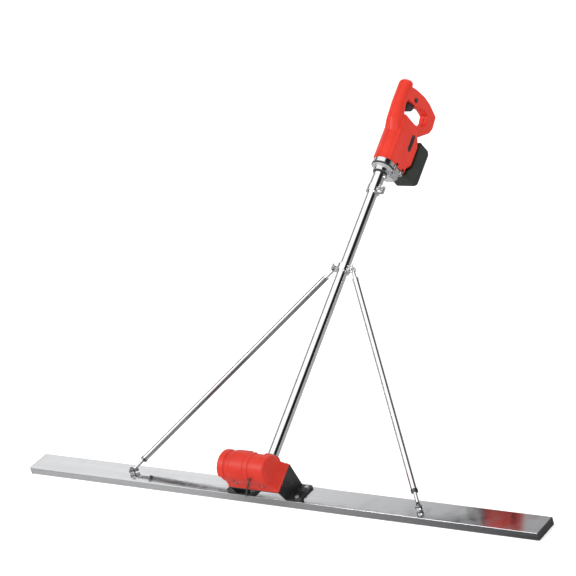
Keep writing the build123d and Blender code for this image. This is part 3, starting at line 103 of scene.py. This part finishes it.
class Graph:
    """A short way to write a material's node tree around one principled shader."""

    def __init__(self, name, color, metallic=0.0, roughness=0.4):
        self.material = bpy.data.materials.new(name)
        self.material.use_nodes = True
        self.material.diffuse_color = (*color, 1)
        self.material.metallic = metallic
        self.material.roughness = roughness
        self.tree = self.material.node_tree
        self.shader = self.tree.nodes["Principled BSDF"]
        self.shader.inputs["Base Color"].default_value = (*color, 1)
        self.shader.inputs["Metallic"].default_value = metallic
        self.shader.inputs["Roughness"].default_value = roughness

    def node(self, kind, **settings):
        made = self.tree.nodes.new("ShaderNode" + kind)
        for key, value in settings.items():
            setattr(made, key, value)
        return made

    def link(self, source, target):
        self.tree.links.new(source, target)

    def place(self, stretch=(1, 1, 1)):
        """Object coordinates in metres, stretched along the axes."""
        where = self.node("TexCoord")
        scale = self.node("Mapping")
        scale.inputs["Scale"].default_value = stretch
        self.link(where.outputs["Object"], scale.inputs["Vector"])
        return scale.outputs["Vector"]

    def noise(self, size_mm, detail=3.0, stretch=(1, 1, 1)):
        """Noise whose features are about size_mm across."""
        made = self.node("TexNoise")
        made.inputs["Scale"].default_value = 1000 / size_mm
        made.inputs["Detail"].default_value = detail
        self.link(self.place(stretch), made.inputs["Vector"])
        return made.outputs["Fac"]

    def remap(self, value, low, high, out_low, out_high):
        made = self.node("MapRange")
        made.inputs["From Min"].default_value = low
        made.inputs["From Max"].default_value = high
        made.inputs["To Min"].default_value = out_low
        made.inputs["To Max"].default_value = out_high
        self.link(value, made.inputs["Value"])
        return made.outputs["Result"]

    def mix(self, factor, first, second):
        """Blend two colours; each is a colour tuple or a socket."""
        made = self.node("Mix", data_type="RGBA")
        self.link(factor, made.inputs["Factor"])
        for socket, value in ((made.inputs["A"], first), (made.inputs["B"], second)):
            self.set_colour(socket, value)
        return [s for s in made.outputs if s.type == "RGBA"][0]

    def set_colour(self, socket, value):
        colour = [s for s in socket.node.inputs if s.name == socket.name and s.type == "RGBA"]
        target = colour[0] if colour else socket
        if isinstance(value, tuple):
            target.default_value = (*value, 1)
        else:
            self.link(value, target)

    def edge_wear(self, radius_mm=1.2, threshold=0.93):
        """1 on worn outer edges, 0 on faces: where a rounded normal leaves the true one."""
        bevel = self.node("Bevel", samples=4)
        bevel.inputs["Radius"].default_value = radius_mm * MM
        geometry = self.node("NewGeometry")
        dot = self.node("VectorMath", operation="DOT_PRODUCT")
        self.link(bevel.outputs["Normal"], dot.inputs[0])
        self.link(geometry.outputs["Normal"], dot.inputs[1])
        ragged = self.node("Math", operation="MULTIPLY_ADD")
        ragged.inputs[1].default_value = EDGE_RAGGED
        self.link(self.noise(EDGE_GRAIN_MM, 5), ragged.inputs[0])
        self.link(dot.outputs["Value"], ragged.inputs[2])
        return self.remap(ragged.outputs["Value"], threshold, threshold + EDGE_SOFTNESS, 1, 0)

    def colour(self, value):
        self.link(value, self.shader.inputs["Base Color"])

    def rough(self, value):
        self.link(value, self.shader.inputs["Roughness"])

    def bump(self, height, strength, distance_mm):
        made = self.node("Bump")
        made.inputs["Strength"].default_value = strength
        made.inputs["Distance"].default_value = distance_mm * MM
        self.link(height, made.inputs["Height"])
        self.link(made.outputs["Normal"], self.shader.inputs["Normal"])


# ---------------------------------------------------------------- materials
def red_plastic(name, level):
    """Semi-gloss moulded shell: faint colour drift, fine spark-eroded grain, rubbed edges."""
    deep = tuple(level * part for part in (0.62, 0.026, 0.012))
    light = tuple(level * part for part in (0.69, 0.036, 0.018))
    g = Graph(name, deep, 0, 0.38)
    drift = g.remap(g.noise(60, 2), 0.3, 0.7, 0, 1)
    base = g.mix(drift, deep, light)
    g.colour(g.mix(g.edge_wear(0.9, 0.9), base, (0.78, 0.075, 0.045)))
    g.rough(g.remap(g.noise(14, 4), 0.3, 0.7, 0.34, 0.46))
    g.bump(g.noise(0.7, 2), 0.25, 0.05)
    g.shader.inputs["Specular IOR Level"].default_value = 0.28
    return g.material


def dark_plastic(name, color, worn, grain_mm=0.8):
    """Textured plastic with a slightly lifted tone in patches and rubbed edges."""
    g = Graph(name, color, 0, 0.5)
    drift = g.remap(g.noise(30, 3), 0.3, 0.7, 0, 1)
    lifted = tuple(1.35 * c + 0.003 for c in color)
    g.colour(g.mix(g.edge_wear(0.8, 0.9), g.mix(drift, color, lifted), worn))
    g.rough(g.remap(g.noise(9, 4), 0.3, 0.7, 0.42, 0.6))
    g.bump(g.noise(grain_mm, 2), 0.35, 0.06)
    return g.material


def rubber():
    """Matt black seal rings with a greyish bloom."""
    g = Graph("rubber_black", (0.018, 0.018, 0.019), 0, 0.65)
    bloom = g.remap(g.noise(12, 4), 0.35, 0.7, 0, 1)
    g.colour(g.mix(bloom, (0.014, 0.014, 0.015), (0.035, 0.034, 0.032)))
    g.rough(g.remap(g.noise(5, 3), 0.3, 0.7, 0.55, 0.75))
    g.bump(g.noise(1.2, 2), 0.3, 0.08)
    return g.material


def painted_steel():
    """Satin black paint with orange peel, chipped to bare steel on its edges."""
    g = Graph("bracket_paint", (0.012, 0.012, 0.013), 0, 0.33)
    drift = g.remap(g.noise(35, 3), 0.3, 0.7, 0, 1)
    paint = g.mix(drift, (0.010, 0.010, 0.011), (0.022, 0.022, 0.023))
    worn = g.edge_wear(1.0, 0.88)
    g.colour(g.mix(worn, paint, (0.16, 0.16, 0.165)))
    g.link(g.remap(worn, 0, 1, 0, 0.7), g.shader.inputs["Metallic"])
    g.rough(g.remap(g.noise(8, 4), 0.3, 0.7, 0.26, 0.42))
    g.bump(g.noise(2.2, 2), 0.25, 0.08)
    return g.material


def board_metal():
    """Polished extrusion: a mirror with drawn lines along X and light handling marks.

    Painted reflection makes it brighter towards the left end, and painted shade makes its upright faces
    darker than its upper face.
    """
    g = Graph("board_metal", (0.8, 0.81, 0.82), 1, 0.1)
    along = g.node("SeparateXYZ")
    g.link(g.place(), along.inputs["Vector"])
    # Painted reflection: the colour runs from bright at the left end to dark at the right.
    painted_light_along_x = g.remap(along.outputs["X"], -0.3, 1.0, 0, 1)
    top_painted_light = g.mix(painted_light_along_x, (0.96, 0.965, 0.97), (0.36, 0.363, 0.368))
    front_painted_shade = g.mix(painted_light_along_x, (0.94, 0.945, 0.95), (0.11, 0.112, 0.118))
    facing = g.node("SeparateXYZ")
    g.link(g.node("NewGeometry").outputs["Normal"], facing.inputs["Vector"])
    # Painted shade: upright faces get the darker colours, upward faces the lighter ones.
    base = g.mix(g.remap(facing.outputs["Z"], 0.3, 0.8, 1, 0), top_painted_light, front_painted_shade)
    lines = g.noise(2.0, 4, (0.004, 1, 1))
    g.colour(g.mix(g.remap(lines, 0.35, 0.7, 0, 0.35), base, (0.52, 0.53, 0.54)))
    marks = g.remap(g.noise(45, 5), 0.45, 0.75, 0, 1)
    g.rough(g.remap(marks, 0, 1, 0.075, 0.17))
    g.bump(lines, 0.06, 0.05)
    return g.material


def chrome(name, level, rough):
    """Polished tube: fine rubbing marks and faint smudges."""
    g = Graph(name, (level, level, level * 1.01), 1, rough)
    smudge = g.remap(g.noise(25, 5), 0.45, 0.72, 0, 1)
    g.colour(g.mix(smudge, (level, level, level * 1.01), (level * 0.9, level * 0.9, level * 0.89)))
    g.rough(g.remap(smudge, 0, 1, rough * 0.8, rough * 2.0))
    g.bump(g.noise(0.5, 3), 0.05, 0.02)
    return g.material


def cast_metal(name, color, rough, grain_mm=1.6, depth=0.25):
    """Sand-cast metal: stained in patches, with a grainy skin."""
    g = Graph(name, color, 1, rough)
    dark = tuple(0.62 * c for c in color)
    g.colour(g.mix(g.remap(g.noise(10, 5), 0.4, 0.75, 0, 1), color, dark))
    g.rough(g.remap(g.noise(4, 4), 0.3, 0.7, rough * 0.75, rough * 1.5))
    g.bump(g.noise(grain_mm, 3), depth, 0.12)
    return g.material


def case_metal():
    """Gear case: polished round its rim, blasted dull and pale on the face towards the pole."""
    bright = (0.74, 0.745, 0.75)
    g = Graph("case_metal", bright, 1, 0.16)
    slope = g.node("VectorMath", operation="DOT_PRODUCT")
    slope.inputs[1].default_value = -ALONG
    g.link(g.node("NewGeometry").outputs["Normal"], slope.inputs[0])
    blasted = g.remap(slope.outputs["Value"], 0.6, 0.9, 0, 1)
    g.link(g.remap(blasted, 0, 1, 1, 0.5), g.shader.inputs["Metallic"])
    stain = g.remap(g.noise(10, 5), 0.4, 0.75, 0, 1)
    g.colour(g.mix(stain, bright, (0.52, 0.52, 0.53)))
    g.rough(g.remap(blasted, 0, 1, 0.14, 0.45))
    g.bump(g.noise(2.5, 3), 0.12, 0.12)
    return g.material


def machined_steel(name, color, rough):
    """Turned steel with fine tool rings and an oily stain here and there."""
    g = Graph(name, color, 1, rough)
    stain = g.remap(g.noise(16, 5), 0.5, 0.8, 0, 1)
    g.colour(g.mix(stain, color, tuple(0.5 * c for c in color)))
    g.rough(g.remap(g.noise(3, 3), 0.3, 0.7, rough * 0.7, rough * 1.6))
    g.bump(g.noise(0.6, 2), 0.15, 0.03)
    return g.material


def circuit_board():
    """Green coated board with copper tracks."""
    g = Graph("circuit_green", (0.01, 0.12, 0.04), 0, 0.3)
    tracks = g.node("TexBrick")
    tracks.inputs["Scale"].default_value = 260
    tracks.inputs["Mortar Size"].default_value = 0.03
    tracks.inputs["Color1"].default_value = (0.008, 0.10, 0.035, 1)
    tracks.inputs["Color2"].default_value = (0.012, 0.14, 0.05, 1)
    tracks.inputs["Mortar"].default_value = (0.35, 0.2, 0.07, 1)
    g.link(g.place(), tracks.inputs["Vector"])
    g.colour(tracks.outputs["Color"])
    g.rough(g.remap(g.noise(6, 3), 0.3, 0.7, 0.25, 0.4))
    return g.material


def stator_metal():
    """Laminated iron: fine stacked sheets seen from the side."""
    g = Graph("stator_iron", (0.25, 0.22, 0.2), 1, 0.4)
    sheets = g.noise(1.0, 1, (0.05, 1, 1))
    g.colour(g.mix(g.remap(sheets, 0.4, 0.6, 0, 1), (0.30, 0.25, 0.2), (0.42, 0.22, 0.1)))
    g.rough(g.remap(g.noise(4, 3), 0.3, 0.7, 0.32, 0.5))
    g.bump(sheets, 0.3, 0.1)
    return g.material


# One material for each material slot of the record.
MATERIALS = {
    "board_aluminium": board_metal(),
    "chrome_tube": chrome("chrome_tube", 0.82, 0.07),
    "bracket_black": painted_steel(),
    "red_shell": red_plastic("head_red", 1.0),
    "black_plastic": dark_plastic("black_plastic", (0.022, 0.022, 0.024), (0.06, 0.06, 0.06)),
    "battery_green": dark_plastic("battery_plastic", (0.013, 0.018, 0.013), (0.05, 0.06, 0.05)),
    "zinc_fastener": machined_steel("zinc_plate", (0.66, 0.66, 0.64), 0.3),
    "cast_case": case_metal(),
    "cast_housing": cast_metal("rough_casting", (0.32, 0.32, 0.33), 0.45),
    "gear_steel": machined_steel("gear_steel", (0.5, 0.51, 0.53), 0.24),
    "bearing_steel": machined_steel("bearing_steel", (0.62, 0.63, 0.64), 0.16),
    "motor_iron": stator_metal(),
    "circuit_green": circuit_board(),
    "cell_wrap": dark_plastic("cell_wrap", (0.03, 0.16, 0.34), (0.1, 0.25, 0.4), 2.0),
    "rubber_black": rubber(),
}

# Nodes that look different from the rest of their slot.
COVER_RED = red_plastic("cover_red", 0.82)
# Painted shade: the left stay's tube and rod take a darkened copy of the chrome.
STAY_TUBE_PAINTED_SHADE = chrome("stay_tube", 0.35, 0.09)
DARK_COLLAR = chrome("stay_collar", 0.1, 0.2)
DULL_STEEL = machined_steel("foot_steel", (0.24, 0.24, 0.245), 0.32)
OWN_LOOK = {
    "vibrator_cover": COVER_RED,
    "left_stay_tube": STAY_TUBE_PAINTED_SHADE,
    "left_stay_rod": STAY_TUBE_PAINTED_SHADE,
    "left_stay_collar": DARK_COLLAR,
    "right_stay_collar": DARK_COLLAR,
    "foot_fasteners": DULL_STEEL,
}


def assign_materials():
    """Give every carried-over CAD node its own material, or else the one of its slot in the record."""
    for part in frame["record"]["subparts"]:
        thing = frame["nodes"][part["node"]]
        thing.data.materials.clear()
        thing.data.materials.append(OWN_LOOK.get(part["node"], MATERIALS[part["material_slot"]]))


# ---------------------------------------------------------------- moulded shells
RELAX_FACTOR = 0.5
KEPT_FACES = 0.35            # share of the remeshed faces that is kept


def bake_modifiers(piece):
    """Replace a piece's mesh by its evaluated one and drop the modifiers."""
    graph = bpy.context.evaluated_depsgraph_get()
    baked = bpy.data.meshes.new_from_object(piece.evaluated_get(graph))
    piece.modifiers.clear()
    piece.data = baked


def moulded(node, name, body, material, voxel_mm, rounds):
    """A soft-edged moulding grown from a CAD shell: remeshed, relaxed and thinned out again."""
    piece = bpy.data.objects.new(name, frame["nodes"][node].data.copy())
    bpy.context.scene.collection.objects.link(piece)
    skin = piece.modifiers.new("skin", "REMESH")
    skin.mode = "VOXEL"
    skin.voxel_size = voxel_mm * MM
    skin.use_smooth_shade = True
    relax = piece.modifiers.new("relax", "SMOOTH")
    relax.iterations = rounds
    relax.factor = RELAX_FACTOR
    thin = piece.modifiers.new("thin", "DECIMATE")
    thin.ratio = KEPT_FACES
    bake_modifiers(piece)
    piece.data.materials.clear()
    piece.data.materials.append(material)
    for face in piece.data.polygons:
        face.use_smooth = True
    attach(piece, body)
    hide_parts(node)


# ---------------------------------------------------------------- studio
WORLD_STRENGTH = 0.85
WORLD_WHITE = 0.95           # what the camera and diffuse light see all round
# Brightness that mirrors see, by degrees round the pole: 0 towards the camera, positive to its right.
MIRROR_RING = [(-180, 0.5), (-150, 0.9), (-120, 0.95), (-115, 0.06), (-98, 0.06), (-90, 1.5),
               (-10, 1.5), (6, 0.02), (52, 0.02), (63, 0.2), (130, 0.32), (180, 0.5)]
FLOOR_HALF = 30
FLOOR_DROP = 0.0005          # floor below the board, so that the two don't flicker together
FLOOR_GLOW = 0.2             # lifts the floor to white for the camera alone
FLOOR_TONES = (0.91, 0.91, 0.91), (0.93, 0.93, 0.93)
FLOOR_MIRRORED = (0.34, 0.34, 0.345)
LIGHT_AIM = (0, 0.4, 0.4)
RIM_AIM = (0, 0.4, 0.5)


def pole_directions():
    """Directions square to the pole: towards the camera, and to the camera's right."""
    back = view_axes()[2]
    facing = (back - ALONG * back.dot(ALONG)).normalized()
    return facing, ALONG.cross(facing).normalized()


def add_world():
    """A white studio. Mirrors see a ring round the pole, with dark flags that draw the lines on the tubes."""
    world = bpy.data.worlds.new("studio")
    bpy.context.scene.world = world
    world.use_nodes = True
    tree = world.node_tree
    where = tree.nodes.new("ShaderNodeTexCoord")
    facing, right = pole_directions()

    def along(direction):
        dot = tree.nodes.new("ShaderNodeVectorMath")
        dot.operation = "DOT_PRODUCT"
        dot.inputs[1].default_value = direction
        tree.links.new(where.outputs["Generated"], dot.inputs[0])
        return dot.outputs["Value"]

    turn = tree.nodes.new("ShaderNodeMath")
    turn.operation = "ARCTAN2"
    tree.links.new(along(right), turn.inputs[0])
    tree.links.new(along(facing), turn.inputs[1])
    share = tree.nodes.new("ShaderNodeMapRange")
    share.inputs["From Min"].default_value = -math.pi
    share.inputs["From Max"].default_value = math.pi
    tree.links.new(turn.outputs["Value"], share.inputs["Value"])
    ramp = tree.nodes.new("ShaderNodeValToRGB")
    ramp.color_ramp.interpolation = "EASE"
    elements = ramp.color_ramp.elements
    while len(elements) < len(MIRROR_RING):
        elements.new(0.5)
    for element, (degrees, level) in zip(elements, MIRROR_RING):
        element.position = (degrees + 180) / 360
        element.color = (level, level, level * 1.01, 1)
    tree.links.new(share.outputs["Result"], ramp.inputs["Fac"])
    plain = tree.nodes.new("ShaderNodeRGB")
    plain.outputs[0].default_value = (WORLD_WHITE, WORLD_WHITE, WORLD_WHITE, 1)
    choose = tree.nodes.new("ShaderNodeMix")
    choose.data_type = "RGBA"
    rays = tree.nodes.new("ShaderNodeLightPath")
    tree.links.new(rays.outputs["Is Glossy Ray"], choose.inputs["Factor"])
    colours = [s for s in choose.inputs if s.type == "RGBA"]
    tree.links.new(plain.outputs[0], colours[0])
    tree.links.new(ramp.outputs["Color"], colours[1])
    result = [s for s in choose.outputs if s.type == "RGBA"][0]
    tree.links.new(result, tree.nodes["Background"].inputs["Color"])
    tree.nodes["Background"].inputs["Strength"].default_value = WORLD_STRENGTH


def add_floor():
    """Pale floor with a very faint mottling; mirrors in the tool see it darker than the camera does."""
    mesh = bpy.data.meshes.new("floor")
    shape = bmesh.new()
    bmesh.ops.create_grid(shape, x_segments=2, y_segments=2, size=FLOOR_HALF)
    shape.to_mesh(mesh)
    shape.free()
    floor = bpy.data.objects.new("floor", mesh)
    bpy.context.scene.collection.objects.link(floor)
    floor.location.z = CAD_BOX[0][2] - FLOOR_DROP
    g = Graph("floor", (0.9, 0.9, 0.9), 0, 0.9)
    rays = g.node("LightPath")
    mottled = g.mix(g.remap(g.noise(900, 3), 0.3, 0.7, 0, 1), *FLOOR_TONES)
    g.colour(g.mix(rays.outputs["Is Glossy Ray"], mottled, FLOOR_MIRRORED))
    g.shader.inputs["Specular IOR Level"].default_value = 0.1
    g.shader.inputs["Emission Color"].default_value = (1, 1, 1, 1)
    glow = g.remap(rays.outputs["Is Camera Ray"], 0, 1, 0, FLOOR_GLOW)
    g.link(glow, g.shader.inputs["Emission Strength"])
    floor.data.materials.append(g.material)


def add_light(name, place, aim, size, power):
    """Soft round light, size metres across and power watts strong."""
    data = bpy.data.lights.new(name, "AREA")
    data.shape = "DISK"
    data.size = size
    data.energy = power
    light = bpy.data.objects.new(name, data)
    direction = (Vector(aim) - Vector(place)).normalized()
    light.rotation_euler = direction.to_track_quat("-Z", "Y").to_euler()
    light.location = place
    bpy.context.scene.collection.objects.link(light)


def add_lights():
    add_light("key", (-2.2, -3.4, 4.2), LIGHT_AIM, size=2.4, power=170)
    add_light("fill", (3.6, -1.6, 2.6), LIGHT_AIM, size=2.6, power=45)
    add_light("rim", (0.5, 4.2, 3.6), RIM_AIM, size=2.2, power=60)


assign_materials()
moulded("vibrator_cover", "cover_shell", "base", COVER_RED, voxel_mm=1.3, rounds=3)
for side in ("left", "right"):
    moulded("housing_" + side, "head_shell_" + side, "head", MATERIALS["red_shell"], voxel_mm=1.2, rounds=4)
add_world()
add_floor()
add_lights()
add_camera()
bpy.context.scene.view_settings.view_transform = "Standard"
